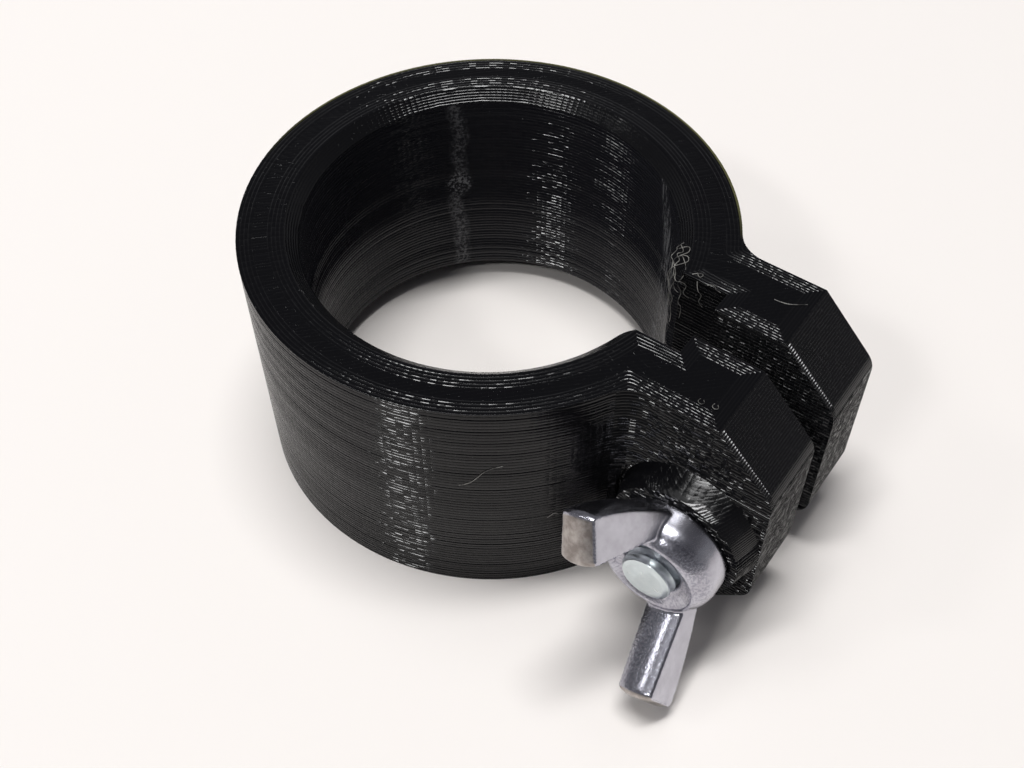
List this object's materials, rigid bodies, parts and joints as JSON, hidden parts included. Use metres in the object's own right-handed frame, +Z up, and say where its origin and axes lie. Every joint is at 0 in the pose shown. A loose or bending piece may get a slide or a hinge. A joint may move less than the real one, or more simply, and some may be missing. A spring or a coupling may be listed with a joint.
{
  "type": "tube clamp",
  "caption": "Printed split-ring tube clamp with two lugs, drawn together by a bolt and a wing nut.",
  "frame": {"origin": "centre of the tube bore at half the height of the clamp", "axes": "+Z up along the bore, +X out through the slot along the lugs, +Y along the bolt towards its head; the wing nut is on the -Y side"},
  "size_m": [0.0582, 0.046, 0.0258],
  "materials": {
    "black_print": "black printed plastic with fine level layer lines and a silky sheen",
    "zinc_steel": "bright zinc plate, smooth on the flats and faintly hammered where forged"
  },
  "bodies": {
    "clamp": {"clamp_body": "black_print"},
    "bolt": {"bolt": "zinc_steel"},
    "wing_nut": {"wing_nut": "zinc_steel"}
  },
  "joints": [
    {"name": "nut_turn", "type": "hinge", "parent": "clamp", "child": "wing_nut", "pos_m": [0.02825, -0.012, -0.0009], "axis": [0, -1, 0], "range_deg": [0, 1350]},
    {"name": "bolt_draw", "type": "slide", "parent": "clamp", "child": "bolt", "axis": [0, 1, 0], "range_m": [0, 0.0031]}
  ],
  "couplings": [
    {"joint": "bolt_draw", "follows": "nut_turn", "m_per_rad": 0.00012732}
  ]
}
